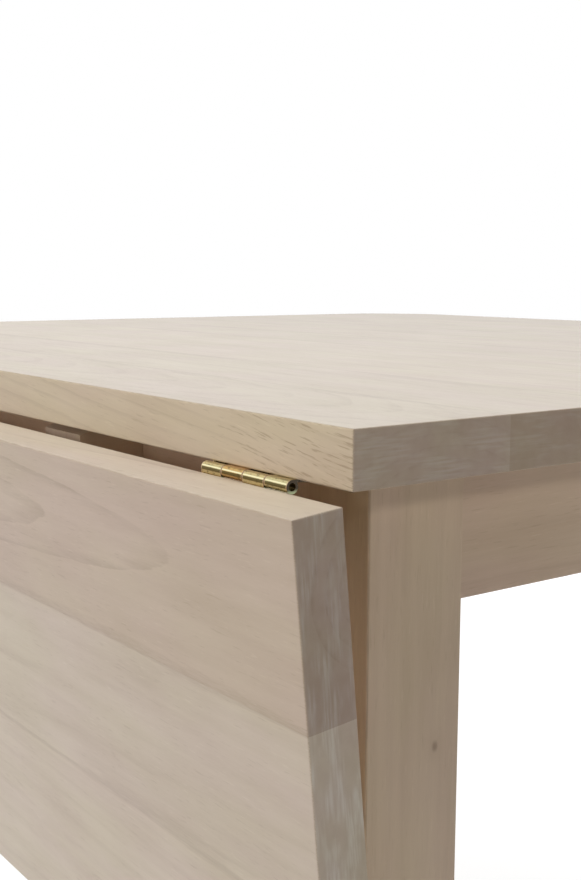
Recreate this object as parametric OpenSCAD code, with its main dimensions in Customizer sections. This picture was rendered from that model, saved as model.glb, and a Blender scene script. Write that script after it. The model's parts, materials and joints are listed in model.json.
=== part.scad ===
// Small dining table with one drop leaf that extends it
// X runs across the hinge line, Y along it, Z up, in millimetres
// The origin is under the middle of the whole table, on the floor, with the leaf hanging

/* [Table top] */
// Width of the fixed top, across the hinge line
top_w = 800; // [700:10:900]
// Length of the top and the leaf, along the hinge line
top_l = 890; // [840:10:1100]
// Thickness of the top and the leaf
top_t = 22; // [20:1:28]
// Height of the top's surface above the floor
table_h = 750; // [700:5:780]
// Radius of the rounded corners, seen from above
corner_r = 90; // [60:5:110]
// Radius of the eased arrises of the top and the leaf
arris_r = 0.75; // [0.5:0.25:2]

/* [Drop leaf] */
// Width of the leaf, from its hinge edge to its outer edge
leaf_w = 252; // [200:2:300]
// Lean of the hanging leaf towards the legs, from the vertical
hang_lean = 5.5; // [0:0.5:6]
// Gap between the top and the raised leaf
edge_gap = 3.2; // [2.8:0.2:4]

/* [Frame] */
// Side of the square legs
leg_w = 50; // [46:1:56]
// Setback of the legs from the ends of the top
end_setback = 35; // [35:1:50]
// Setback of the legs from the long edges of the top
side_setback = 37; // [36:1:50]
// Depth of the aprons, top to bottom
apron_h = 59; // [58:1:80]
// Thickness of the aprons
apron_t = 20; // [19:1:24]
// Diameter of the dowels between legs and aprons
dowel_d = 8; // [6:1:8]
// Length of those dowels, half in each piece
dowel_l = 40; // [30:2:44]
// Height between the two dowels of a joint
dowel_pitch = 30; // [24:2:34]

/* [Corner blocks] */
// Thickness of the corner blocks, along the bolt
block_t = 22; // [18:1:28]
// Gap between a corner block and the leg, which the bolt pulls up
block_gap = 8; // [5:1:12]
// Diameter of the bolts
bolt_d = 8; // [6:1:8]
// Depth of the bolts in the legs
bolt_depth = 34; // [24:2:38]

/* [Hinges] */
// Length of a hinge
hinge_l = 58; // [50:2:70]
// Distance from the end of the top to the hinge next to it
hinge_end = 32.5; // [25:0.5:60]
// Number of knuckles on a hinge
knuckle_count = 4; // [4:1:5]
// Diameter of the hinge pins
pin_d = 3; // [2.5:0.1:3.2]
// Thickness of the hinge sheet
sheet_t = 1.1; // [0.9:0.1:1.3]
// Width of each hinge plate, from the pin's axis
plate_w = 17; // [16:1:24]

/* [Lopers] */
// Width of a loper
loper_w = 38; // [30:1:44]
// Depth of a loper, top to bottom
loper_h = 30; // [26:1:32]
// Distance from the end of the top to the loper next to it
loper_end = 211; // [190:1:220]
// Distance from the hinge edge of the top back to the tip of the loper
loper_tip = 3; // [2.5:0.5:12]
// Length of the bevel that leads the loper's tip under the leaf
loper_bevel = 12; // [6:1:18]
// Length by which a loper pulls out under the raised leaf
loper_pull = 175; // [150:5:200]
// Length of the saddle that carries the loper's inner end
saddle_l = 40; // [30:2:60]
// Thickness of the saddle's cheeks and floor
saddle_t = 15; // [14:1:20]

/* [Fixings] */
// Length of a button, out from the apron
button_l = 28; // [24:1:34]
// Width of a button, along the apron
button_w = 26; // [20:1:34]
// Drop of the apron's button groove under the top
groove_drop = 9; // [8:1:12]
// Height of the button groove
groove_h = 7; // [6:0.5:8]
// Depth of the button groove
groove_d = 5; // [4:0.5:5]
// Diameter of the glides under the legs
glide_d = 24; // [18:1:34]
// Thickness of those glides
glide_t = 4; // [3:0.5:6]

/* [Hidden] */
$fn = 48;

// Sides and ends of the table, as signs
LEAF = -1;
PLAIN = 1;
NEAR = -1;
FAR = 1;
MIDDLE = 0;

// Clearances
fit = 0.05;            // round pieces in their bores
loose = 0.3;           // pieces on different bodies
loper_side_play = 1;   // loper in its notch and saddle, each side
bolt_play = 0.5;       // bolts through the corner blocks
cut = 1;               // how far a cut runs past the faces it opens

// Heights and the pin's axis
under_z = table_h - top_t;
barrel_r = pin_d / 2 + fit + sheet_t;
axis_x = -edge_gap / 2;
axis_z = under_z - barrel_r;

// The hanging leaf reaches furthest out at its upper arris, which centres the origin
drop_angle = 90 + hang_lean;
arris_x = -(edge_gap / 2 + arris_r);
arris_z = barrel_r + top_t - arris_r;
leaf_reach = axis_x + arris_x * cos(drop_angle) - arris_z * sin(drop_angle) - arris_r;
origin_x = (top_w + leaf_reach) / 2;

// Frame
leg_arris = 1.2;
frame_w = top_w - 2 * side_setback;
frame_l = top_l - 2 * end_setback;
apron_mid_z = under_z - apron_h / 2;
dowel_play = 1;        // spare depth beyond each dowel's end

// Corner blocks: the diagonal starts where the aprons' inner faces meet
block_margin = 5;      // block stops short of the apron's top and bottom
leg_diag = (leg_w - apron_t) * sqrt(2);
leg_facet = 5;         // flat cut off the leg's inner corner for the bolt
block_front = leg_diag + block_gap;
block_back = block_front + block_t;
block_h = apron_h - 2 * block_margin;
washer_rim = 4.8;      // washer beyond the bolt
washer_r = bolt_d / 2 + washer_rim;
washer_t = 1.6;
nut_rim = 3.4;         // nut's corners beyond the bolt
nut_r = bolt_d / 2 + nut_rim;
nut_t = 6.4;
bolt_show = 6;         // thread that shows past the nut
block_screw_seat = 8;  // wood under the screw's head
block_screw_l = 20;

// Hinges
hinge_y = top_l / 2 - hinge_end - hinge_l / 2;
knuckle_l = hinge_l / knuckle_count;
pin_recess = 3;        // the pin ends short of the barrel's ends
plate_relief = 0.5;    // plate cut back round the other plate's knuckles
hinge_screw_d = 3;
hinge_screw_head = 6;
hinge_screw_l = 16;
hinge_screw_margin = 6.8;  // from the plate's outer edge
hinge_screw_x = plate_w - hinge_screw_margin;
hinge_screw_pitch = hinge_l / 3;

// Lopers
loper_top_play = 0.5;
loper_y = top_l / 2 - loper_end - loper_w / 2;
loper_z = under_z - loper_top_play - loper_h;
stop_d = 8;
stop_show = 12;        // stop dowel below the loper
stop_depth = 20;
stop_x = side_setback + apron_t + loper_pull + stop_d / 2;
loper_push = side_setback - loper_tip;
saddle_x = stop_x + stop_d / 2 + loper_push + loose;
loper_bearing = 20;    // loper left in the saddle when it is pulled right out
loper_l = saddle_x + loper_pull + loper_bearing - loper_tip;
loper_arris = 1;
loper_bevel_h = 3;     // fall of the bevel at the loper's tip
grip_r = 12;           // finger groove under the tip
grip_depth = 4;
grip_x = 22;
saddle_w = loper_w + 2 * (loper_side_play + saddle_t);
saddle_h = loper_h + loper_top_play + loose + saddle_t;
saddle_screw_y = saddle_w / 2 - saddle_t / 2;
saddle_screw_sink = 16;
saddle_screw_bite = 14;    // length in the top
saddle_screw_l = saddle_h - saddle_screw_sink + saddle_screw_bite;

// Buttons
button_gap = 1;        // between the button's body and the apron
button_h = groove_drop + groove_h - loose;
button_end_x = 150;    // from the middle of an end apron
button_side_y = 115;   // from the middle of a side apron
button_screw_margin = 11.2;  // from the button's inner end
button_screw_bite = 12;    // length in the top
button_screw_l = button_h + button_screw_bite;

// Wood screws and nails
screw_d = 4;
screw_head = 7.6;
slot_w = 0.9;
slot_depth = 0.8;
glide_nail_d = 3;
glide_nail_l = 16;

// Colours
pale_wood = [0.80, 0.72, 0.62];
frame_wood = [0.62, 0.53, 0.43];
dowel_wood = [0.84, 0.74, 0.58];
brass = [0.83, 0.68, 0.30];
zinc = [0.72, 0.73, 0.74];
nylon = [0.86, 0.84, 0.80];

// Flat shapes

// Rectangle with its four corners eased
module eased_rect(w, h, r) {
    translate([r, 0]) square([w - 2 * r, h]);
    translate([0, r]) square([w, h - 2 * r]);
    for (x = [r, w - r], y = [r, h - r]) translate([x, y]) circle(r);
}

// Square with only the corner at the origin eased
module one_corner_square(w, r) {
    translate([r, 0]) square([w - r, w]);
    translate([0, r]) square([w, w - r]);
    translate([r, r]) circle(r);
}

// Placing

module centred() {
    translate([-origin_x, 0, 0]) children();
}

// Mirrors what is drawn at the leaf side across the middle of the fixed top
module on_side(side) {
    if (side == LEAF) children();
    else translate([top_w, 0, 0]) mirror([1, 0, 0]) children();
}

// Mirrors what is drawn at the near end to the far end
module at_end(end) {
    if (end == NEAR) children();
    else mirror([0, 1, 0]) children();
}

// Corner of the frame: origin at the leg's outer corner, X and Y running inwards
module at_corner(side, end) {
    on_side(side) at_end(end)
        translate([side_setback, end_setback - top_l / 2, 0]) children();
}

module at_all_corners() {
    for (side = [LEAF, PLAIN], end = [NEAR, FAR]) at_corner(side, end) children();
}

// Turns what is drawn along Z to run along the corner's diagonal, out of the leg
module on_diagonal(distance) {
    translate([apron_t, apron_t, apron_mid_z])
        rotate([0, 90, 45]) translate([0, 0, distance]) children();
}

// Turns the raised leaf down about the pins
module hung() {
    translate([axis_x, 0, axis_z]) rotate([0, -drop_angle, 0])
        translate([-axis_x, 0, -axis_z]) children();
}

// Origin on the pin's axis, halfway along a hinge
module at_hinge(place) {
    translate([axis_x, place * hinge_y, axis_z]) children();
}

// Every button stands on an apron's inner face, X running in from that face
module at_all_buttons() {
    for (side = [LEAF, PLAIN], s = [-1, 1])
        on_side(side) translate([side_setback + apron_t, s * button_side_y, under_z]) children();
    for (end = [NEAR, FAR], s = [-1, 1])
        at_end(end)
            translate([top_w / 2 + s * button_end_x, end_setback + apron_t - top_l / 2, under_z])
                rotate([0, 0, 90]) children();
}

// Fasteners

// Countersunk screw with its flat head at the origin, running up along Z
module screw(length, d, head, extra = 0) {
    r = d / 2 + extra;
    head_r = head / 2 + extra;
    neck = (head - d) / 2;
    tip = length - d;
    rotate_extrude() polygon([
        [0, 0], [head_r, 0], [r, neck], [r, tip], [0, length + extra]
    ]);
}

// Room under a screw, so that its head sits deep in the piece
module counterbore(depth) {
    mirror([0, 0, 1]) translate([0, 0, -fit]) cylinder(r = screw_head / 2 + bolt_play, h = depth);
}

// Screw with a slot across its head
module slotted_screw(length, d, head) {
    difference() {
        screw(length, d, head);
        translate([-head, -slot_w / 2, -cut]) cube([2 * head, slot_w, cut + slot_depth]);
    }
}

// Panels

// Edge-glued panel: hinge edge on the Y axis, top face at Z = 0, two rounded corners
module panel(w) {
    straight = top_l - 2 * corner_r;
    rotate([90, 0, 0]) linear_extrude(straight, center = true) slab_section(w);
    for (end = [NEAR, FAR]) at_end(end) {
        intersection() {
            translate([0, -straight / 2, 0]) rotate([90, 0, 0])
                linear_extrude(corner_r) slab_section(w);
            rotate([90, 0, 90]) linear_extrude(w - corner_r)
                translate([-top_l / 2, 0]) slab_section(top_l);
            translate([0, -top_l / 2, -top_t - cut]) linear_extrude(top_t + 2 * cut)
                one_corner_square(top_l, arris_r);
        }
        translate([w - corner_r, -straight / 2, 0]) rotate([0, 0, -90])
            rotate_extrude(angle = 90) intersection() {
                translate([-corner_r, 0]) slab_section(2 * corner_r);
                translate([0, -top_t]) square([corner_r, top_t]);
            }
    }
}

module slab_section(w) {
    translate([0, -top_t]) eased_rect(w, top_t, arris_r);
}

// The three screws of one hinge plate, head down, plate running along +X
module at_plate_screws() {
    for (i = [-1, 0, 1])
        translate([hinge_screw_x, i * hinge_screw_pitch, barrel_r - sheet_t]) children();
}

module hinge_screw_holes() {
    for (place = [NEAR, MIDDLE, FAR])
        at_hinge(place) at_plate_screws()
            screw(hinge_screw_l, hinge_screw_d, hinge_screw_head, fit);
}

// Mirrors the fixed half of the hinges to the raised leaf's half
module on_leaf() {
    translate([axis_x, 0, 0]) mirror([1, 0, 0]) translate([-axis_x, 0, 0]) children();
}

module table_top() {
    color(pale_wood) difference() {
        translate([0, 0, table_h]) panel(top_w);
        hinge_screw_holes();
        at_all_buttons() button_screw_at()
            screw(button_screw_l, screw_d, screw_head, fit);
        for (end = [NEAR, FAR]) at_saddle_screws(end)
            screw(saddle_screw_l, screw_d, screw_head, fit);
    }
}

module drop_leaf() {
    color(pale_wood) hung() on_leaf() difference() {
        translate([0, 0, table_h]) panel(leaf_w);
        hinge_screw_holes();
    }
}

// Legs and aprons

module leg(side, end) {
    color(frame_wood) at_corner(side, end) difference() {
        translate([0, 0, glide_t]) linear_extrude(under_z - glide_t)
            one_corner_square(leg_w, leg_arris);
        leg_dowels(fit, dowel_play);
        on_diagonal(leg_diag - leg_facet - bolt_depth - dowel_play)
            cylinder(r = bolt_d / 2 + fit, h = bolt_depth + leg_facet + cut);
        on_diagonal(leg_diag - leg_facet)
            translate([-block_h / 2, -leg_w / 2, 0]) cube([block_h, leg_w, leg_facet + cut]);
        translate([leg_w / 2, leg_w / 2, 0])
            cylinder(r = glide_nail_d / 2 + fit, h = glide_t + glide_nail_l + dowel_play);
    }
}

// The four dowels that hold one leg: two into each apron
module leg_dowels(extra, spare) {
    r = dowel_d / 2 + extra;
    l = dowel_l + 2 * spare;
    for (s = [-1, 1]) translate([0, 0, apron_mid_z + s * dowel_pitch / 2]) {
        translate([leg_w, apron_t / 2, 0]) rotate([0, 90, 0]) cylinder(r = r, h = l, center = true);
        translate([apron_t / 2, leg_w, 0]) rotate([90, 0, 0]) cylinder(r = r, h = l, center = true);
    }
}

module dowels() {
    color(dowel_wood) at_all_corners() leg_dowels(0, 0);
}

// Apron's section: outer face on the Y axis, top edge on the X axis, button groove inside
module apron_section() {
    lower_arris = 1;
    difference() {
        union() {
            translate([0, -apron_h / 2]) square([apron_t, apron_h / 2]);
            translate([0, -apron_h]) eased_rect(apron_t, apron_h - cut, lower_arris);
        }
        translate([apron_t - groove_d, -groove_drop - groove_h]) square([groove_d + cut, groove_h]);
    }
}

module block_screw_holes() {
    at_all_corners() at_block_screws()
        screw(block_screw_l, screw_d, screw_head, fit);
}

module side_apron(side) {
    difference() {
        on_side(side) translate([side_setback, 0, under_z]) rotate([90, 0, 0])
            linear_extrude(frame_l - 2 * leg_w, center = true) apron_section();
        at_all_corners() leg_dowels(fit, dowel_play);
        block_screw_holes();
    }
}

module apron_leaf_side() {
    notch_w = loper_w + 2 * loper_side_play;
    color(frame_wood) difference() {
        side_apron(LEAF);
        for (end = [NEAR, FAR])
            translate([side_setback - cut, end * loper_y - notch_w / 2, loper_z - loose])
                cube([apron_t + 2 * cut, notch_w, under_z + cut - loper_z]);
    }
}

module apron_plain_side() {
    color(frame_wood) side_apron(PLAIN);
}

module apron_end(end) {
    color(frame_wood) difference() {
        at_end(end) translate([top_w / 2, end_setback - top_l / 2, under_z]) rotate([90, 0, 90])
            linear_extrude(frame_w - 2 * leg_w, center = true) apron_section();
        at_all_corners() leg_dowels(fit, dowel_play);
        block_screw_holes();
    }
}

// Corner blocks and their bolts

// Distance along an apron from the inner corner to the middle of the block's end
function block_end() = (block_front + block_back) / 2 * sqrt(2);

// The two screws of a corner block, heads seated in it, each square to its apron
module at_block_screws() {
    translate([apron_t, apron_t, apron_mid_z]) {
        translate([block_end(), block_screw_seat, 0]) rotate([90, 0, 0]) children();
        translate([block_screw_seat, block_end(), 0]) rotate([0, -90, 0]) children();
    }
}

module corner_block(side, end) {
    front = block_front * sqrt(2);
    back = block_back * sqrt(2);
    color(frame_wood) at_corner(side, end) difference() {
        translate([apron_t, apron_t, apron_mid_z]) linear_extrude(block_h, center = true)
            polygon([[front, 0], [back, 0], [0, back], [0, front]]);
        on_diagonal(block_front - cut) cylinder(r = bolt_d / 2 + bolt_play, h = block_t + 2 * cut);
        at_block_screws() {
            screw(block_screw_l, screw_d, screw_head, fit);
            counterbore(block_t);
        }
    }
}

module block_screws() {
    color(zinc) at_all_corners() at_block_screws()
        slotted_screw(block_screw_l, screw_d, screw_head);
}

module hanger_bolts() {
    color(zinc) at_all_corners() on_diagonal(leg_diag - leg_facet - bolt_depth)
        cylinder(d = bolt_d,
            h = bolt_depth + leg_facet + block_gap + block_t + washer_t + nut_t + bolt_show);
}

module bolt_washers() {
    color(zinc) at_all_corners() on_diagonal(block_back) difference() {
        cylinder(r = washer_r, h = washer_t);
        translate([0, 0, -cut]) cylinder(r = bolt_d / 2 + bolt_play / 2, h = washer_t + 2 * cut);
    }
}

module bolt_nuts() {
    color(zinc) at_all_corners() on_diagonal(block_back + washer_t) difference() {
        cylinder(r = nut_r, h = nut_t, $fn = 6);
        translate([0, 0, -cut]) cylinder(r = bolt_d / 2 + fit, h = nut_t + 2 * cut);
    }
}

// Buttons that hold the top down and let it move

module button_screw_at() {
    translate([button_l - button_screw_margin, 0, -button_h]) children();
}

module top_buttons() {
    tongue = groove_d - button_gap;
    color(dowel_wood) at_all_buttons() difference() {
        rotate([90, 0, 0]) linear_extrude(button_w, center = true) polygon([
            [button_gap, 0], [button_l, 0], [button_l, -button_h], [-tongue, -button_h],
            [-tongue, -groove_drop - loose], [button_gap, -groove_drop - loose]
        ]);
        button_screw_at() screw(button_screw_l, screw_d, screw_head, fit);
    }
}

module button_screws() {
    color(zinc) at_all_buttons() button_screw_at()
        slotted_screw(button_screw_l, screw_d, screw_head);
}

// Glide with its nail, in one piece
module leg_glides() {
    color(nylon) at_all_corners() translate([leg_w / 2, leg_w / 2, 0]) {
        cylinder(d = glide_d, h = glide_t);
        cylinder(d = glide_nail_d, h = glide_t + glide_nail_l);
    }
}

// Lopers

module at_loper(end) {
    translate([0, end * loper_y, 0]) children();
}

module loper(end) {
    grip_rise = grip_r - grip_depth;
    color(pale_wood) at_loper(end) difference() {
        translate([loper_tip, -loper_w / 2, loper_z]) rotate([90, 0, 90])
            linear_extrude(loper_l) eased_rect(loper_w, loper_h, loper_arris);
        translate([loper_tip, 0, loper_z + loper_h]) rotate([90, 0, 0])
            linear_extrude(loper_w + 2 * cut, center = true) polygon([
                [-cut, cut], [-cut, -loper_bevel_h], [0, -loper_bevel_h],
                [loper_bevel, 0], [loper_bevel, cut]
            ]);
        translate([loper_tip + grip_x, 0, loper_z - grip_rise]) rotate([90, 0, 0])
            cylinder(r = grip_r, h = loper_w + 2 * cut, center = true);
        translate([stop_x, 0, loper_z - cut])
            cylinder(r = stop_d / 2 + fit, h = stop_depth + dowel_play + cut);
    }
}

module loper_stop(end) {
    color(dowel_wood) at_loper(end) translate([stop_x, 0, loper_z - stop_show])
        cylinder(d = stop_d, h = stop_show + stop_depth);
}

// The two screws of a saddle, up through its cheeks
module at_saddle_screws(end) {
    at_loper(end) for (s = [-1, 1])
        translate([saddle_x + saddle_l / 2, s * saddle_screw_y, under_z - saddle_h + saddle_screw_sink])
            children();
}

module loper_saddle(end) {
    channel_w = loper_w + 2 * loper_side_play;
    color(frame_wood) difference() {
        at_loper(end) difference() {
            translate([saddle_x, -saddle_w / 2, under_z - saddle_h]) cube([saddle_l, saddle_w, saddle_h]);
            translate([saddle_x - cut, -channel_w / 2, loper_z - loose])
                cube([saddle_l + 2 * cut, channel_w, saddle_h]);
        }
        at_saddle_screws(end) {
            screw(saddle_screw_l, screw_d, screw_head, fit);
            counterbore(saddle_screw_sink + cut);
        }
    }
}

module saddle_screws() {
    color(zinc) for (end = [NEAR, FAR]) at_saddle_screws(end)
        slotted_screw(saddle_screw_l, screw_d, screw_head);
}

// Hinges

// Half a hinge, its plate running along +X; first is its first knuckle, counted from the near end
module hinge_half(first) {
    mine = [for (i = [0 : knuckle_count - 1]) if (i % 2 == first) i];
    root_x = barrel_r + plate_relief;
    play = loose / 2;
    difference() {
        union() {
            translate([root_x, -hinge_l / 2, barrel_r - sheet_t])
                linear_extrude(sheet_t) square([plate_w - root_x, hinge_l]);
            for (i = mine) translate([0, i * knuckle_l - hinge_l / 2 + play, 0]) {
                translate([0, 0, barrel_r - sheet_t]) cube([root_x + cut, knuckle_l - 2 * play, sheet_t]);
                rotate([-90, 0, 0]) cylinder(r = barrel_r, h = knuckle_l - 2 * play);
            }
        }
        rotate([90, 0, 0]) cylinder(r = pin_d / 2 + fit, h = hinge_l + 2 * cut, center = true);
        at_plate_screws() screw(hinge_screw_l, hinge_screw_d, hinge_screw_head, fit);
    }
}

module top_plate(place) {
    color(brass) at_hinge(place) hinge_half(0);
}

module leaf_plate(place) {
    color(brass) hung() on_leaf() at_hinge(place) hinge_half(1);
}

module hinge_pin(place) {
    color(brass) at_hinge(place) rotate([90, 0, 0])
        cylinder(d = pin_d, h = hinge_l - 2 * pin_recess, center = true);
}

module hinge_screws() {
    color(brass) for (place = [NEAR, MIDDLE, FAR]) at_hinge(place) at_plate_screws()
        slotted_screw(hinge_screw_l, hinge_screw_d, hinge_screw_head);
}

centred() table_top();
centred() drop_leaf();
centred() leg(LEAF, NEAR);  // leg_leaf_near
centred() leg(LEAF, FAR);  // leg_leaf_far
centred() leg(PLAIN, NEAR);  // leg_plain_near
centred() leg(PLAIN, FAR);  // leg_plain_far
centred() apron_leaf_side();
centred() apron_plain_side();
centred() apron_end(NEAR);  // apron_end_near
centred() apron_end(FAR);  // apron_end_far
centred() corner_block(LEAF, NEAR);  // corner_block_leaf_near
centred() corner_block(LEAF, FAR);  // corner_block_leaf_far
centred() corner_block(PLAIN, NEAR);  // corner_block_plain_near
centred() corner_block(PLAIN, FAR);  // corner_block_plain_far
centred() dowels();
centred() hanger_bolts();
centred() bolt_washers();
centred() bolt_nuts();
centred() block_screws();
centred() top_buttons();
centred() button_screws();
centred() leg_glides();
centred() loper(NEAR);  // loper_near
centred() loper(FAR);  // loper_far
centred() loper_stop(NEAR);  // loper_stop_near
centred() loper_stop(FAR);  // loper_stop_far
centred() loper_saddle(NEAR);  // loper_saddle_near
centred() loper_saddle(FAR);  // loper_saddle_far
centred() saddle_screws();
centred() top_plate(NEAR);  // top_plate_near
centred() top_plate(MIDDLE);  // top_plate_middle
centred() top_plate(FAR);  // top_plate_far
centred() leaf_plate(NEAR);  // leaf_plate_near
centred() leaf_plate(MIDDLE);  // leaf_plate_middle
centred() leaf_plate(FAR);  // leaf_plate_far
centred() hinge_pin(NEAR);  // hinge_pin_near
centred() hinge_pin(MIDDLE);  // hinge_pin_middle
centred() hinge_pin(FAR);  // hinge_pin_far
centred() hinge_screws();  // hinge_screws_top
centred() hung() on_leaf() hinge_screws();  // hinge_screws_leaf
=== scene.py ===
import json
import math
import random
from collections import namedtuple
from functools import reduce

import bpy
from mathutils import Color, Matrix, Vector


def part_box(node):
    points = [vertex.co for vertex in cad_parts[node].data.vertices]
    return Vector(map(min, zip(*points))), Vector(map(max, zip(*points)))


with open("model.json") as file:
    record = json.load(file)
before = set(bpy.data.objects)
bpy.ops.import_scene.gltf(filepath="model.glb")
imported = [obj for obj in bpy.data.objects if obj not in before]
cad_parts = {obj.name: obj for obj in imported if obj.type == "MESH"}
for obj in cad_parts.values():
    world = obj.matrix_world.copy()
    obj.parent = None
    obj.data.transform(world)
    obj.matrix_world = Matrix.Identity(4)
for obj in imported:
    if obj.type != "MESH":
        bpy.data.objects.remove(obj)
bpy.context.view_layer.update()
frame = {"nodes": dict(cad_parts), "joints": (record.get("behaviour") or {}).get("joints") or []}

X = Vector((1, 0, 0))
Y = Vector((0, 1, 0))
Z = Vector((0, 0, 1))
MM = 1000  # shader coordinates are in millimetres

# Sockets of a Mix node that mixes colours
FIRST_COLOUR, SECOND_COLOUR, MIXED_COLOUR = 6, 7, 2

# Octaves of a noise
PLAIN, FINE, FINEST = 2.0, 3.0, 4.0


def colour(red, green, blue):
    """An sRGB colour from 0 to 255 as the linear values that the shaders take."""
    written = Color([level / 255 for level in (red, green, blue)])
    return (*written.from_srgb_to_scene_linear(), 1)


def grey(level):
    return (level, level, level, 1)


class Shader:
    """A material's node tree, with a short call for each kind of node."""

    def __init__(self, name):
        self.material = bpy.data.materials.new(name)
        self.material.use_nodes = True
        self.tree = self.material.node_tree
        self.surface = self.tree.nodes["Principled BSDF"]
        self.place = self.node("TexCoord")

    def feed(self, socket, value):
        """Links another node's output to a socket, or sets it to a plain value."""
        if isinstance(value, bpy.types.NodeSocket):
            self.tree.links.new(value, socket)
        else:
            socket.default_value = value

    def node(self, kind, *values, **settings):
        """A new node. The values go to its first inputs, and None leaves one as it is."""
        made = self.tree.nodes.new("ShaderNode" + kind)
        for name, value in settings.items():
            setattr(made, name, value)
        for socket, value in zip(made.inputs, values):
            if value is not None:
                self.feed(socket, value)
        return made

    def math(self, operation, first, second=0.0):
        return self.node("Math", first, second, operation=operation).outputs[0]

    def add(self, first, second):
        return self.math("ADD", first, second)

    def take(self, first, second):
        return self.math("SUBTRACT", first, second)

    def times(self, first, second):
        return self.math("MULTIPLY", first, second)

    def weighted(self, *pairs):
        """The sum of values, each times its weight."""
        return reduce(self.add, (self.times(value, weight) for value, weight in pairs))

    def distance(self, *parts):
        """The length of a line from its two parts, which are at right angles."""
        return self.math("SQRT", self.add(*(self.math("POWER", part, 2.0) for part in parts)))

    def centred(self, value):
        """A value between 0 and 1, moved to lie about 0."""
        return self.add(value, -0.5)

    def ramp(self, value, start, end):
        """0 at start and before it, 1 at end and past it, whichever of the two is the larger."""
        made = self.node("MapRange", value, start, end, interpolation_type="SMOOTHSTEP")
        return made.outputs[0]

    def choose(self, share, first, second):
        """A number that goes from first to second."""
        return self.node("Mix", share, None, first, second).outputs[0]

    def blend(self, share, first, second, kind="MIX"):
        """A colour that goes from first to second."""
        made = self.node("Mix", share, data_type="RGBA", blend_type=kind)
        self.feed(made.inputs[FIRST_COLOUR], first)
        self.feed(made.inputs[SECOND_COLOUR], second)
        return made.outputs[MIXED_COLOUR]

    def tint(self, first, second):
        return self.blend(1.0, first, second, "MULTIPLY")

    def vector(self, x, y, z):
        return self.node("CombineXYZ", x, y, z).outputs[0]

    def parts(self, vector):
        return self.node("SeparateXYZ", vector).outputs[:3]

    def millimetres(self, scale=1.0):
        """The place in the row frame, in millimetres and then scaled."""
        made = self.node("VectorMath", self.place.outputs["Object"], operation="SCALE")
        made.inputs["Scale"].default_value = MM * scale
        return made.outputs[0]

    def stretched(self, x, y, z, size):
        """A place for a pattern that is size[0] across the grain and size[1] along it."""
        across, along = size
        return self.vector(
            self.times(x, 1 / across), self.times(y, 1 / along), self.times(z, 1 / across)
        )

    def noise(self, place, detail=PLAIN):
        """Noise from 0 to 1 whose features are about one unit across."""
        made = self.node("TexNoise", place)
        made.inputs["Scale"].default_value = 1
        made.inputs["Detail"].default_value = detail
        return made.outputs[0]

    def chance(self, number):
        """Three random numbers that depend on the number."""
        made = self.node("TexWhiteNoise", noise_dimensions="1D")
        self.feed(made.inputs["W"], number)
        return self.parts(made.outputs["Color"])

    def bump(self, height, depth):
        made = self.node("Bump", 1.0, depth)
        self.feed(made.inputs["Height"], height)
        self.feed(self.surface.inputs["Normal"], made.outputs[0])

    def finish(self, **values):
        for name, value in values.items():
            self.feed(self.surface.inputs[name.replace("_", " ")], value)

    def put_on(self, *names):
        for name in names:
            mesh = frame["nodes"][name].data
            mesh.materials.clear()
            mesh.materials.append(self.material)


# Wood

PALE = colour(203, 186, 169)
SHADE = colour(190, 171, 153)
RING = colour(150, 126, 106)
FLECK = colour(128, 102, 82)
LIGHT_FLECK = colour(216, 202, 186)
ARRIS_DARK = colour(158, 139, 120)
RUBBED = colour(224, 217, 208)
GREEN_CAST = (1.0, 1.01, 0.955, 1)
PINK_CAST = (1.01, 0.985, 1.0, 1)

# Sizes of the patterns in the wood, across and along the grain
FIBRES = (0.5, 14)
STREAKS = (6, 150)
BENDS = (22, 70)
PATCHES = (40, 80)
CASTS = (30, 110)
FLECKS = (0.8, 12)
SCRAPES = (1.1, 16)  # through and across the board, on its ends
RUBS = (7, 24)

# Levels of the noise between which a pattern comes up
WIDE_RISE = (0.2, 0.8)
MIDDLE_RISE = (0.3, 0.7)
PATCH_RISE = (0.35, 0.65)
RUB_RISE = (0.4, 0.62)
ARRIS_DARK_RISE = (0.3, 0.6)
LIGHT_RISE = (0.37, 0.25)

# Sizes of the normal's parts between which a face turns into the board's edge, end or arris
EDGE_TURN = (0.5, 0.8)
END_TURN = (0.55, 0.85)
ARRIS_TURN = (0.985, 0.85)

# Weights of fibres, streaks and patches in the body's colour, and the sums that are pale and shade
BODY_WEIGHTS = (0.25, 0.8, 0.95)
BODY_RANGE = (0.55, 1.45)

RING_BEND = 3.0  # how far the rings wander
RING_FRAY = 0.6  # how far the fibres fray them
RING_FADE = 3.0  # how gradually they end at the clear radius
RING_START, RING_PEAK = 0.6, 0.97  # where a ring starts and is darkest, as shares of the spacing
END_RINGS = 0.6  # share of the rings' strength that shows on the ends
PITH_ASIDE = 0.6  # how far a stave's rings may be centred from its middle, in stave widths
PITH_DEPTH = (25, 90)  # least depth of the log's centre below a stave's face, and its range
DRIFT = (0.03, 0.1)  # range of a stave's slope across and through it
TONE_RANGE = 0.05  # range of brightness from stave to stave
OTHER_CHANCE = 0.5  # added to a whole number, it gives random numbers of its own

FLECK_START = 0.64  # level of the noise at which a dark fleck starts
FLECK_FADE = 0.12  # how far above that level it is full
PATCH_CROWD, SWIRL_CROWD = 0.05, 0.07  # how far a patch and a swirl lower that level
FLECK_STRENGTH = (0.16, 0.4)  # in plain wood and in a swirl
LIGHT_STRENGTH = 0.3
END_FLECKS = 0.25  # share of the flecks' strength that shows on the ends
SWIRL_FADE = (1.2, 0.6)  # where coarse flecks end and are full, as shares of the swirl's length

JOINT_BAND = 6.0  # usual width of the darker wood beside a glue joint
JOINT_CHANCE = (0.1, 0.9)  # random numbers that give a joint no band and a full one
JOINT_FIBRES = (0.5, 1.0)  # how the fibres vary the band
JOINT_STRENGTH = 0.34
FAR_SIDE = 2.5  # the band is this much narrower on the next stave

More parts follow.
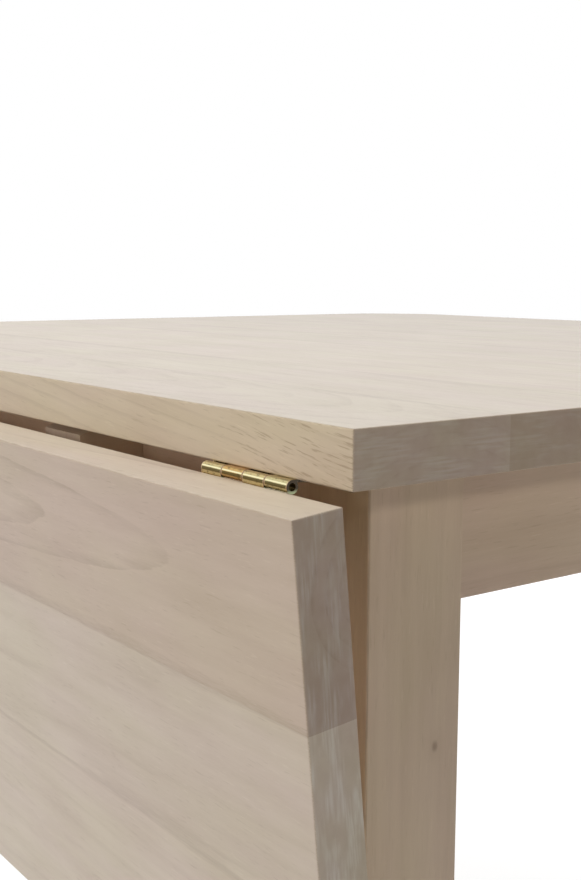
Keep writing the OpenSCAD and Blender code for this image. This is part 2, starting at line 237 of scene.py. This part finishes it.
KNOT_SIZE = 2.4
KNOT_HEART = 0.3  # radius within which it is darkest
KNOT_SQUASH = 0.7  # lengths along the grain count this much, which makes it oval
KNOT_STRENGTH = 0.6
HALO_SIZES = 3  # radius of the halo, in knot sizes
HALO_STRENGTH = 0.16

ARRIS_DARK_STRENGTH = 0.5
WOOD_ROUGHNESS = 0.30
FLECK_DULL, END_DULL, ARRIS_DULL, FIBRE_DULL = 0.3, 0.2, 0.3, 0.12  # added to the roughness
WOOD_RELIEF = 0.00002  # metres
FIBRE_HEIGHT, FLECK_HEIGHT, RING_HEIGHT = 0.35, -1.0, -0.2  # as shares of the relief

# How a board lay in its log, in millimetres, and the tints of its faces.
# pith is the log's centre, across and through the board, and drift its slope along the board.
# ring is the radius of one dark ring, spacing the distance to the next, figure their strength,
# and clear the radius beyond which they don't show. Over the first length of swirl the grain
# dips by its second number and is coarser. rub is the strength of the sander's marks on the
# ends. face, edge and end tint those sides; besides the wood's own colour and the end grain's
# own darkness, they hold painted light and shade, set by how brightly each side is lit.
Board = namedtuple("Board", "pith drift ring spacing figure clear swirl rub face edge end")
NO_SWIRL = (1, 0)
NEVER_CLEAR = 1000


class Timber(Shader):
    """Sawn wood, in coordinates across, along and through the board at the origin."""

    def __init__(self, node, axes, origin):
        super().__init__(node + "_wood")
        self.turn = Matrix(axes)
        self.origin = Vector(origin)
        placed = self.node("Mapping", self.place.outputs["Object"])
        placed.inputs["Location"].default_value = -MM * (self.turn @ self.origin)
        placed.inputs["Rotation"].default_value = self.turn.to_euler()
        placed.inputs["Scale"].default_value = (MM, MM, MM)
        self.x, self.y, self.z = self.parts(placed.outputs[0])
        facing = self.node("Mapping", self.place.outputs["Normal"], vector_type="NORMAL")
        facing.inputs["Rotation"].default_value = self.turn.to_euler()
        normal_x, normal_y, normal_z = (
            self.math("ABSOLUTE", part) for part in self.parts(facing.outputs[0])
        )
        self.edgewise = self.ramp(normal_x, *EDGE_TURN)
        self.endwise = self.ramp(normal_y, *END_TURN)
        flattest = self.math("MAXIMUM", self.math("MAXIMUM", normal_x, normal_y), normal_z)
        self.arris = self.ramp(flattest, *ARRIS_TURN)

    def split_into_staves(self, first, others, joints):
        """The board value by value: first's on the first stave, and on the rest others' tints
        and a log of their own. joints are the first glue joint and the distance between them."""
        first_joint, pitch = joints
        across = self.times(self.add(self.x, -first_joint), 1 / pitch)
        self.find_joints(across, pitch)
        number = self.math("FLOOR", across)
        other = self.math("GREATER_THAN", self.math("ABSOLUTE", number), 0.5)
        luck_x, luck_z, luck_tone = self.chance(number)
        luck_slope = self.chance(self.add(number, OTHER_CHANCE))[0]

        middle = self.add(self.times(self.add(number, 0.5), pitch), first_joint)
        aside = self.times(self.centred(luck_x), 2 * PITH_ASIDE * pitch)
        least_depth, depth_range = PITH_DEPTH
        depth = self.add(self.times(luck_z, depth_range), least_depth)
        piths = (self.add(middle, aside), self.times(depth, -1))
        drifts = (self.times(self.centred(luck_slope), span) for span in DRIFT)
        swirl_length, dip = first.swirl
        tone = self.add(1 - TONE_RANGE / 2, self.times(luck_tone, TONE_RANGE))
        tones = self.vector(tone, tone, tone)
        tints = ((first.face, others.face), (first.edge, others.edge), (first.end, others.end))
        face, edge, end = (self.blend(other, mine, self.tint(theirs, tones)) for mine, theirs in tints)
        return first._replace(
            pith=[self.choose(other, *pair) for pair in zip(first.pith, piths)],
            drift=[self.choose(other, *pair) for pair in zip(first.drift, drifts)],
            figure=self.choose(other, first.figure, others.figure),
            clear=self.choose(other, first.clear, others.clear),
            swirl=(swirl_length, self.choose(other, dip, 0.0)),
            face=face, edge=edge, end=end,
        )

    def find_joints(self, across, pitch):
        """Notes how far off the nearest glue joint is, and how strong the band beside it."""
        past_joint = self.math("FRACT", across)
        before_joint = self.take(1.0, past_joint)
        nearest = self.math("MINIMUM", self.times(past_joint, FAR_SIDE), before_joint)
        self.to_joint = self.times(nearest, pitch)
        joint = self.math("FLOOR", self.add(across, 0.5))
        luck = self.chance(self.add(joint, OTHER_CHANCE))[0]
        inner = self.math("GREATER_THAN", joint, 0.5)
        self.joint_strength = self.times(self.ramp(luck, *JOINT_CHANCE), inner)

    def lay_grain(self, board):
        """Notes the place in the board's log, and the patterns that follow its grain."""
        length, dip = board.swirl
        bend = self.times(self.ramp(self.y, 0.0, length), dip)
        self.grain_x, self.grain_z = (
            self.take(self.take(part, pith), self.times(self.y, slope))
            for part, pith, slope in zip((self.x, self.z), board.pith, board.drift)
        )
        self.grain_z = self.take(self.grain_z, bend)
        self.fibre = self.along_grain(FIBRES, FINE)
        self.streak = self.along_grain(STREAKS, FINE)
        self.patch = self.noise(self.stretched(self.x, self.y, self.z, PATCHES))

    def along_grain(self, size, detail=PLAIN):
        """Noise drawn out along the grain."""
        return self.noise(self.stretched(self.grain_x, self.y, self.grain_z, size), detail)

    def body(self):
        """Pale wood with darker fibres, streaks and patches."""
        patterns = zip((self.fibre, self.streak, self.patch), BODY_WEIGHTS)
        return self.blend(self.ramp(self.weighted(*patterns), *BODY_RANGE), PALE, SHADE)

    def rings(self, board):
        """Dark lines of the year rings, sharp on their outer side."""
        wander = self.times(self.centred(self.along_grain(BENDS)), RING_BEND)
        radius = self.add(self.distance(self.grain_x, self.grain_z), wander)
        frayed = self.add(radius, self.times(self.fibre, RING_FRAY))
        share = self.math("FRACT", self.times(self.add(frayed, -board.ring), 1 / board.spacing))
        line = self.times(self.ramp(share, RING_START, RING_PEAK), self.ramp(share, 1.0, RING_PEAK))
        within = self.ramp(radius, self.add(board.clear, RING_FADE), board.clear)
        shown = self.times(within, board.figure)
        shown = self.times(shown, self.choose(self.endwise, 1.0, END_RINGS))
        return self.times(line, self.times(shown, self.ramp(self.streak, *WIDE_RISE)))

    def flecks(self, board):
        """Short dark and light marks along the grain, the dark ones crowded in a swirl."""
        fleck = self.along_grain(FLECKS)
        length, dip = board.swirl
        swirled = self.ramp(self.y, *(share * length for share in SWIRL_FADE))
        coarse = self.times(self.times(swirled, self.ramp(dip, 0.0, 1.0)), self.edgewise)
        patches = self.ramp(self.patch, *PATCH_RISE)
        crowd = self.weighted((patches, PATCH_CROWD), (coarse, SWIRL_CROWD))
        start = self.take(FLECK_START, crowd)
        full = self.add(start, FLECK_FADE)
        dark = self.times(self.ramp(fleck, start, full), self.choose(coarse, *FLECK_STRENGTH))
        light = self.times(self.ramp(fleck, *LIGHT_RISE), LIGHT_STRENGTH)
        shown = self.choose(self.endwise, 1.0, END_FLECKS)
        return self.times(dark, shown), self.times(light, shown)

    def tinted(self, body, board):
        """The body in its side's tint, which holds painted light and shade as well as the wood's
        colour, and drifts between a green cast and a pink one.
        """
        side = self.blend(self.endwise, self.blend(self.edgewise, board.face, board.edge), board.end)
        drift = self.noise(self.stretched(self.z, self.y, self.x, CASTS))
        cast = self.blend(self.ramp(drift, *MIDDLE_RISE), GREEN_CAST, PINK_CAST)
        return self.tint(self.tint(body, side), cast)

    def rubbed(self, body, strength):
        """Pale patches with scratches on the ends, where the sander dwelt."""
        scrape = self.noise(self.stretched(self.z, self.x, self.y, SCRAPES), FINE)
        rub = self.noise(self.stretched(self.z, self.x, self.y, RUBS))
        share = self.times(self.ramp(rub, *RUB_RISE), self.ramp(scrape, *MIDDLE_RISE))
        return self.blend(self.times(self.times(share, self.endwise), strength), body, RUBBED)

    def darken_arrises(self, body):
        """Darker wood here and there along the arrises."""
        share = self.times(self.arris, self.ramp(self.fibre, *ARRIS_DARK_RISE))
        return self.blend(self.times(share, ARRIS_DARK_STRENGTH), body, ARRIS_DARK)

    def show_joints(self, body):
        """Darker wood in bands of uneven width beside the glue joints."""
        width = self.times(self.ramp(self.streak, *WIDE_RISE), 2 * JOINT_BAND)
        fibres = self.choose(self.ramp(self.fibre, *MIDDLE_RISE), *JOINT_FIBRES)
        band = self.times(self.ramp(self.to_joint, width, 0.0), fibres)
        shown = self.times(self.times(band, self.joint_strength), self.take(1.0, self.endwise))
        return self.blend(self.times(shown, JOINT_STRENGTH), body, RING)

    def show_knot(self, body, knot):
        """A small dark knot in a faint halo."""
        here = MM * (self.turn @ (Vector(knot) - self.origin))
        off_x = self.add(self.x, -here.x)
        off_y = self.times(self.add(self.y, -here.y), KNOT_SQUASH)
        away = self.add(self.distance(off_x, off_y), self.centred(self.fibre))
        halo = self.ramp(away, HALO_SIZES * KNOT_SIZE, 0.0)
        body = self.blend(self.times(halo, HALO_STRENGTH), body, RING)
        core = self.ramp(away, KNOT_SIZE, KNOT_HEART)
        return self.blend(self.times(core, KNOT_STRENGTH), body, FLECK)


def wood(node, axes, origin, board, joints=None, others=None, knot=None):
    """Wood on a node. joints and others make it a panel of glued staves."""
    timber = Timber(node, axes, origin)
    if joints:
        board = timber.split_into_staves(board, others, joints)
    timber.lay_grain(board)
    rings = timber.rings(board)
    dark, light = timber.flecks(board)

    body = timber.blend(rings, timber.body(), RING)
    body = timber.blend(light, body, LIGHT_FLECK)
    body = timber.blend(dark, body, FLECK)
    body = timber.rubbed(body, board.rub)
    if joints:
        body = timber.show_joints(body)
    if knot:
        body = timber.show_knot(body, knot)
    body = timber.darken_arrises(timber.tinted(body, board))

    dull = timber.weighted(
        (dark, FLECK_DULL), (timber.endwise, END_DULL),
        (timber.arris, ARRIS_DULL), (timber.fibre, FIBRE_DULL),
    )
    timber.finish(Base_Color=body, Roughness=timber.add(dull, WOOD_ROUGHNESS))
    height = timber.weighted((timber.fibre, FIBRE_HEIGHT), (dark, FLECK_HEIGHT), (rings, RING_HEIGHT))
    timber.bump(height, WOOD_RELIEF)
    timber.put_on(node)


top_low, top_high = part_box("table_top")
hinge = next(joint for joint in frame["joints"] if joint["name"] == "leaf_hinge")
pin = Vector(hinge["pos_m"])
drop = Matrix.Rotation(math.radians(-hinge["range_deg"][1]), 3, "Y")
top_corner = Vector((top_low.x, top_low.y, top_high.z))
leaf_corner = Vector((2 * pin.x - top_low.x, top_low.y, top_high.z))

# First glue joint, just outside the panel, and the width of its staves
TOP_JOINTS = (-0.5, 77)
LEAF_JOINTS = (-0.5, 77.5)

# The edge and end tints below paint light and shade into the top's sides, besides the end grain's own
# darker colour.
TOP_FIRST = Board(
    pith=(42, -78), drift=(0, 0.10), ring=74.4, spacing=4.9, figure=0.28,
    clear=NEVER_CLEAR, swirl=(85, 4), rub=0.35,
    face=(0.96, 1.0, 0.995, 1), edge=(1.04, 1.04, 0.93, 1), end=(0.745, 0.72, 0.70, 1),
)
TOP_OTHERS = TOP_FIRST._replace(figure=0.12, end=(0.66, 0.62, 0.57, 1))
wood("table_top", (X, Y, Z), top_corner, TOP_FIRST, TOP_JOINTS, TOP_OTHERS)

# The edge and end tints below paint light and shade into the leaf's sides, besides the end grain's own
# darker colour.
LEAF_FIRST = Board(
    pith=(30, 38.8), drift=(0, -0.057), ring=34, spacing=6.2, figure=0.5,
    clear=36, swirl=NO_SWIRL, rub=0.6,
    face=(0.94, 0.905, 0.875, 1), edge=(1.07, 1.12, 1.145, 1), end=(0.68, 0.65, 0.635, 1),
)
LEAF_OTHERS = LEAF_FIRST._replace(
    figure=0.1, clear=NEVER_CLEAR, face=(0.995, 1.01, 1.0, 1), end=(0.92, 0.94, 0.93, 1)
)
leaf_axes = (drop @ -X, Y, drop @ -Z)
leaf_origin = pin + drop @ (leaf_corner - pin)
wood("drop_leaf", leaf_axes, leaf_origin, LEAF_FIRST, LEAF_JOINTS, LEAF_OTHERS)

UPRIGHT = (X, Z, -Y)
ALONG_X = (Z, X, Y)
ALONG_Y = (Z, Y, -X)
LEG_TINT = (1.04, 0.98, 0.865, 1)
APRON_TINT = (1.00, 0.91, 0.82, 1)
END_SHADE = 0.8  # brightness of the saw-cut ends, as a share of the faces'
NEAR_LEG_SIDE_LIGHT = 1.15  # and that of the near leg's sides, lifted by painted light
KNOT = (-0.3131, 0, 0.6084)  # a point on the knot, which runs through the near leg along Y

# Ranges from which each sawn board draws its log's centre, slope and ring spacing
SAWN_ASIDE = (-25, 25)
SAWN_DEPTH = (60, 120)
SAWN_SLOPE_ACROSS = (-0.01, 0.01)
SAWN_SLOPE_THROUGH = (-0.02, 0.02)
SAWN_SPACING = (4, 7)
SAWN_FIGURE = 0.12
SAWN_RUB = 0.3
rng = random.Random(7)


def shaded(tint, share):
    """The tint at a share of its brightness."""
    return [share * part for part in tint[:3]] + [1]


def sawn(nodes, axes, tint, knot=None, edge_shade=1.0):
    """Single boards, each from its own log."""
    for node in nodes:
        low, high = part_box(node)
        board = Board(
            pith=(rng.uniform(*SAWN_ASIDE), rng.uniform(*SAWN_DEPTH)),
            drift=(rng.uniform(*SAWN_SLOPE_ACROSS), rng.uniform(*SAWN_SLOPE_THROUGH)),
            ring=0, spacing=rng.uniform(*SAWN_SPACING), figure=SAWN_FIGURE,
            clear=NEVER_CLEAR, swirl=NO_SWIRL, rub=SAWN_RUB,
            face=tint, edge=shaded(tint, edge_shade), end=shaded(tint, END_SHADE),
        )
        wood(node, axes, (low + high) / 2, board, knot=knot)


sawn(["leg_leaf_near"], UPRIGHT, LEG_TINT, KNOT, NEAR_LEG_SIDE_LIGHT)
sawn(["leg_leaf_far", "leg_plain_near", "leg_plain_far"], UPRIGHT, LEG_TINT)
sawn(["apron_end_near", "apron_end_far", "loper_near", "loper_far"], ALONG_X, APRON_TINT)
sawn(["apron_leaf_side", "apron_plain_side"], ALONG_Y, APRON_TINT)
sawn(["loper_saddle_near", "loper_saddle_far"], ALONG_Y, LEG_TINT)
to_far = (X + Y).normalized()  # level and aslant, towards the far corner of the plain side
to_near = (X - Y).normalized()
sawn(["corner_block_leaf_near", "corner_block_plain_far"], (Z, to_near, -to_far), LEG_TINT)
sawn(["corner_block_leaf_far", "corner_block_plain_near"], (Z, to_far, to_near), LEG_TINT)


# Small pieces of wood

HARDWOOD = colour(206, 180, 150)
HARDWOOD_FIBRE = colour(184, 154, 124)
HARDWOOD_PATCH = colour(196, 164, 132)
HARDWOOD_FIBRES = (0.6, 8)
HARDWOOD_PATCHES = (12, 30)
HARDWOOD_PATCH_RISE = (0.4, 0.8)
HARDWOOD_ROUGHNESS = 0.45
HARDWOOD_FIBRE_DULL = 0.2
HARDWOOD_RELIEF = 0.00008  # metres


def small_wood(nodes):
    """Fine even hardwood of the dowels and buttons."""
    shader = Shader("dowel_wood")
    x, y, z = shader.parts(shader.millimetres())
    fibre = shader.noise(shader.stretched(z, x, y, HARDWOOD_FIBRES), FINE)
    patch = shader.noise(shader.stretched(z, x, y, HARDWOOD_PATCHES))
    body = shader.blend(shader.ramp(fibre, *MIDDLE_RISE), HARDWOOD, HARDWOOD_FIBRE)
    body = shader.blend(shader.ramp(patch, *HARDWOOD_PATCH_RISE), body, HARDWOOD_PATCH)
    roughness = shader.add(HARDWOOD_ROUGHNESS, shader.times(fibre, HARDWOOD_FIBRE_DULL))
    shader.finish(Base_Color=body, Roughness=roughness)
    shader.bump(fibre, HARDWOOD_RELIEF)
    shader.put_on(*nodes)


small_wood(["dowels", "top_buttons", "loper_stop_near", "loper_stop_far"])


# Metal and nylon

CLOUD_SCALE = 0.25  # clouds in a metal's colour per millimetre
BRUSH_MARKS = (0.3, 3)
BRUSH_DULL = 0.12
BRUSH_RELIEF = 0.00002  # metres
ZINC = colour(178, 180, 184)
ZINC_CLOUD = colour(150, 152, 150)
ZINC_ROUGHNESS = 0.3
NYLON = colour(214, 211, 203)
NYLON_CLOUD = colour(196, 192, 183)
NYLON_ROUGHNESS = 0.4
NYLON_DULL = 0.15
NYLON_RELIEF = 0.00004  # metres


def polished(shader, body, rough):
    """Metal with fine brush marks."""
    x, y, z = shader.parts(shader.millimetres())
    brush = shader.noise(shader.stretched(x, y, z, BRUSH_MARKS))
    roughness = shader.add(rough, shader.times(brush, BRUSH_DULL))
    shader.finish(Base_Color=body, Metallic=1.0, Roughness=roughness)
    shader.bump(brush, BRUSH_RELIEF)


def steel(nodes):
    shader = Shader("zinc_steel")
    cloud = shader.noise(shader.millimetres(CLOUD_SCALE), FINE)
    polished(shader, shader.blend(cloud, ZINC, ZINC_CLOUD), ZINC_ROUGHNESS)
    shader.put_on(*nodes)


def nylon(nodes):
    shader = Shader("nylon")
    grain = shader.noise(shader.millimetres(), FINE)
    body = shader.blend(grain, NYLON, NYLON_CLOUD)
    roughness = shader.add(NYLON_ROUGHNESS, shader.times(grain, NYLON_DULL))
    shader.finish(Base_Color=body, Roughness=roughness)
    shader.bump(grain, NYLON_RELIEF)
    shader.put_on(*nodes)


steel(["hanger_bolts", "bolt_washers", "bolt_nuts"])
steel(["block_screws", "button_screws", "saddle_screws"])
nylon(["leg_glides"])


# Brass hinges

# painted highlight along the barrels
BARREL_HIGHLIGHT = colour(250, 242, 196)
GREENISH = colour(204, 197, 150)
ORANGE = colour(206, 166, 98)
# the stains' colour, and also that of the painted dark reflection below the barrels' highlight
OLIVE = colour(84, 70, 28)
# painted shade on the knuckles' cut ends, a painted glint low down on them, and painted highlights on
# the rims round them
END_PAINTED_SHADE = colour(70, 62, 52)
END_PAINTED_GLINT = colour(150, 156, 122)
RIM_HIGHLIGHT = colour(204, 174, 140)
BRASS_ROUGHNESS = 0.14

KNUCKLES = 4
WARMEST = 2  # knuckle with the most orange cast, counted from the near end
CAST_STEP = 1.9  # radians of the casts' wave from one knuckle to the next
CAST_WAVE = 0.4  # half the height of that wave, which starts from 0
CLOUD_CAST = 0.2

STAINS = (0.8, 2.5)
STAIN_RISE = (0.48, 0.72)
STAIN_STRENGTH = 0.7

# Where the painted highlight along a barrel and the painted dark reflection below it end, by how far
# the normal rises
HIGHLIGHT_FOOT = (0.31, 0.42)
HIGHLIGHT_TOP = (0.62, 0.5)
DARK_REFLECTION_TOP = (0.34, 0.26)
DARK_REFLECTION_FOOT = (-0.5, -0.3)
DARK_REFLECTION_STRENGTH = 0.9

# Heights above the pin, in millimetres
DARK_REFLECTION_LOWEST = (-0.7, -0.3)
GLINT_HEIGHTS = (-0.6, -2.4)

CUT_END = (0.7, 0.9)  # how far a surface has turned to the knuckle's end, by its normal
RIM_HIGHLIGHT_START = (0.445, 0.465)  # distance of the rims from the knuckle's middle, in its lengths
RIM_HIGHLIGHT_STRENGTH = 0.7


class Brass(Shader):
    """The brass of one hinge, whose four knuckles lie side by side along Y."""

    def __init__(self, place):
        super().__init__("brass_" + place)
        low, high = (corner.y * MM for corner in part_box("top_plate_" + place))
        self.x, self.y, self.z = self.parts(self.millimetres())
        self.along = self.times(self.add(self.y, -low), KNUCKLES / (high - low))
        self.height = self.add(self.z, -pin.z * MM)
        self.endways, self.rise = self.parts(self.place.outputs["Normal"])[1:]

    def plating(self):
        """Stained brass with a cast of its own on each knuckle."""
        cloud = self.noise(self.millimetres(CLOUD_SCALE), FINE)
        turn = self.times(self.add(self.math("FLOOR", self.along), -WARMEST), CAST_STEP)
        wave = self.add(self.math("COSINE", turn), 1.0)
        cast = self.weighted((wave, CAST_WAVE), (cloud, CLOUD_CAST))
        stain = self.noise(self.stretched(self.x, self.y, self.z, STAINS), FINEST)
        stained = self.times(self.ramp(stain, *STAIN_RISE), STAIN_STRENGTH)
        return self.blend(stained, self.blend(cast, GREENISH, ORANGE), OLIVE)

    def paint_barrel_reflections(self, body):
        """A painted highlight along the barrels, with a painted dark reflection below it where they
        turn down.
        """
        line = self.times(self.ramp(self.rise, *HIGHLIGHT_FOOT), self.ramp(self.rise, *HIGHLIGHT_TOP))
        dark_reflection = self.times(self.ramp(self.rise, *DARK_REFLECTION_TOP), self.ramp(self.rise, *DARK_REFLECTION_FOOT))
        dark_reflection = self.times(dark_reflection, self.ramp(self.height, *DARK_REFLECTION_LOWEST))
        return self.blend(self.times(dark_reflection, DARK_REFLECTION_STRENGTH), self.blend(line, body, BARREL_HIGHLIGHT), OLIVE)

    def knuckle_ends(self, body):
        """Painted highlights on pale rims round the knuckles' ends, and painted shade on their cut
        faces with a painted glint low down.
        """
        from_middle = self.math("ABSOLUTE", self.centred(self.math("FRACT", self.along)))
        body = self.blend(self.times(self.ramp(from_middle, *RIM_HIGHLIGHT_START), RIM_HIGHLIGHT_STRENGTH), body, RIM_HIGHLIGHT)
        cut = self.ramp(self.math("ABSOLUTE", self.endways), *CUT_END)
        lowest = self.ramp(self.height, *GLINT_HEIGHTS)
        return self.blend(cut, body, self.blend(lowest, END_PAINTED_SHADE, END_PAINTED_GLINT))


def brass(place, *screws):
    """Brass on the pieces of the hinge at one place, and on the screws that are named."""
    shader = Brass(place)
    polished(shader, shader.knuckle_ends(shader.paint_barrel_reflections(shader.plating())), BRASS_ROUGHNESS)
    shader.put_on(*(kind + place for kind in ("top_plate_", "leaf_plate_", "hinge_pin_")), *screws)


brass("near", "hinge_screws_top", "hinge_screws_leaf")
brass("middle")
brass("far")


# Floor, background and light

def show(tree, seen, lighting, output):
    """Links the output to the seen shader for rays of the camera, of reflections and of glass,
    and to the lighting one for the rays that carry light."""
    path = tree.nodes.new("ShaderNodeLightPath")
    share = path.outputs["Is Camera Ray"]
    for name in ("Is Glossy Ray", "Is Transmission Ray"):
        both = tree.nodes.new("ShaderNodeMath")
        both.operation = "MAXIMUM"
        tree.links.new(share, both.inputs[0])
        tree.links.new(path.outputs[name], both.inputs[1])
        share = both.outputs[0]
    either = tree.nodes.new("ShaderNodeMixShader")
    for source, socket in zip((share, lighting.outputs[0], seen.outputs[0]), either.inputs):
        tree.links.new(source, socket)
    tree.links.new(either.outputs[0], tree.nodes[output].inputs[0])


AMBIENT = 0.03
WHITE = grey(1)
world = bpy.data.worlds.new("studio")
bpy.context.scene.world = world
world.use_nodes = True
sky = world.node_tree
ambient = sky.nodes["Background"]
ambient.inputs["Color"].default_value = WHITE
ambient.inputs["Strength"].default_value = AMBIENT
backdrop = sky.nodes.new("ShaderNodeBackground")
backdrop.inputs["Color"].default_value = WHITE
show(sky, backdrop, ambient, "World Output")

FLOOR_SIZE = 12
FLOOR_GREY = grey(0.85)
FLOOR_ROUGHNESS = 0.9
FLOOR_GLOW = 0.86  # under the table, from where it rises to white
WHITE_RISE = (1.2, 3.5)  # distances from the table's middle over which it does
SHADOW_GREY = grey(0.3)  # share of the light, and so of the shadow, that shows on the glow
bpy.ops.mesh.primitive_plane_add(size=FLOOR_SIZE)
floor = bpy.context.object
floor.name = "floor"
pale = Shader("pale_floor")
pale.finish(Base_Color=FLOOR_GREY, Roughness=FLOOR_ROUGHNESS)
away = pale.node("VectorMath", pale.place.outputs["Object"], operation="LENGTH").outputs["Value"]
rise = pale.times(pale.ramp(away, *WHITE_RISE), 1 - FLOOR_GLOW)
glow = pale.node("Emission", WHITE, pale.add(FLOOR_GLOW, rise))
shade = pale.node("BsdfDiffuse", SHADOW_GREY)
shaded_glow = pale.node("AddShader", glow.outputs[0], shade.outputs[0])
show(pale.tree, shaded_glow, pale.surface, "Material Output")
floor.data.materials.append(pale.material)


def softbox(name, place, aim, size, watts, mirrored=False):
    """A lamp that glossy surfaces mirror only if mirrored is set."""
    lamp = bpy.data.lights.new(name, "AREA")
    lamp.shape = "RECTANGLE"
    lamp.size, lamp.size_y = size
    lamp.energy = watts
    holder = bpy.data.objects.new(name, lamp)
    bpy.context.scene.collection.objects.link(holder)
    holder.location = place
    holder.rotation_euler = (Vector(aim) - Vector(place)).to_track_quat("-Z", "Y").to_euler()
    holder.visible_camera = False
    holder.visible_glossy = mirrored


NEAR_CORNER = (-0.2, -0.2, 0.65)
LOW = 0.37  # middle of the low lamps, which light what is below the top
UNDER_TOP = (0, 0, LOW)
softbox("overhead", place=(-0.9, 0, 3.3), aim=NEAR_CORNER, size=(2.4, 2.6), watts=68.5, mirrored=True)
softbox("leaf_side", place=(-3.0, -0.3, 1.2), aim=NEAR_CORNER, size=(2.4, 0.9), watts=25.6)
softbox("near_end", place=(-1.0, -3.4, 2.1), aim=NEAR_CORNER, size=(2.4, 0.3), watts=18.6)
softbox("plain_side", place=(3.0, 0.2, LOW), aim=UNDER_TOP, size=(2.4, 0.66), watts=62)
softbox("far_end", place=(0.55, 3.2, LOW), aim=UNDER_TOP, size=(1.9, 0.66), watts=52)
softbox("window", place=(2.2, 2.9, 1.5), aim=NEAR_CORNER, size=(2.8, 1.2), watts=3.2, mirrored=True)


# Camera, at the photo's angle

EYE = (-0.648357, -0.763469, 0.802996)
YAW, PITCH, ROLL = 53.6026, 7.8669, -0.20456
LENS = 49.976
lens_camera = bpy.data.cameras.new("camera")
lens_camera.lens = LENS
camera = bpy.data.objects.new("camera", lens_camera)
bpy.context.scene.collection.objects.link(camera)
heading = Matrix.Rotation(math.radians(YAW - 90), 4, "Z")
tilt = Matrix.Rotation(math.radians(90 - PITCH), 4, "X")
lean = Matrix.Rotation(math.radians(-ROLL), 4, "Z")
camera.matrix_world = Matrix.Translation(EYE) @ heading @ tilt @ lean
bpy.context.scene.camera = camera
bpy.context.scene.view_settings.view_transform = "Standard"
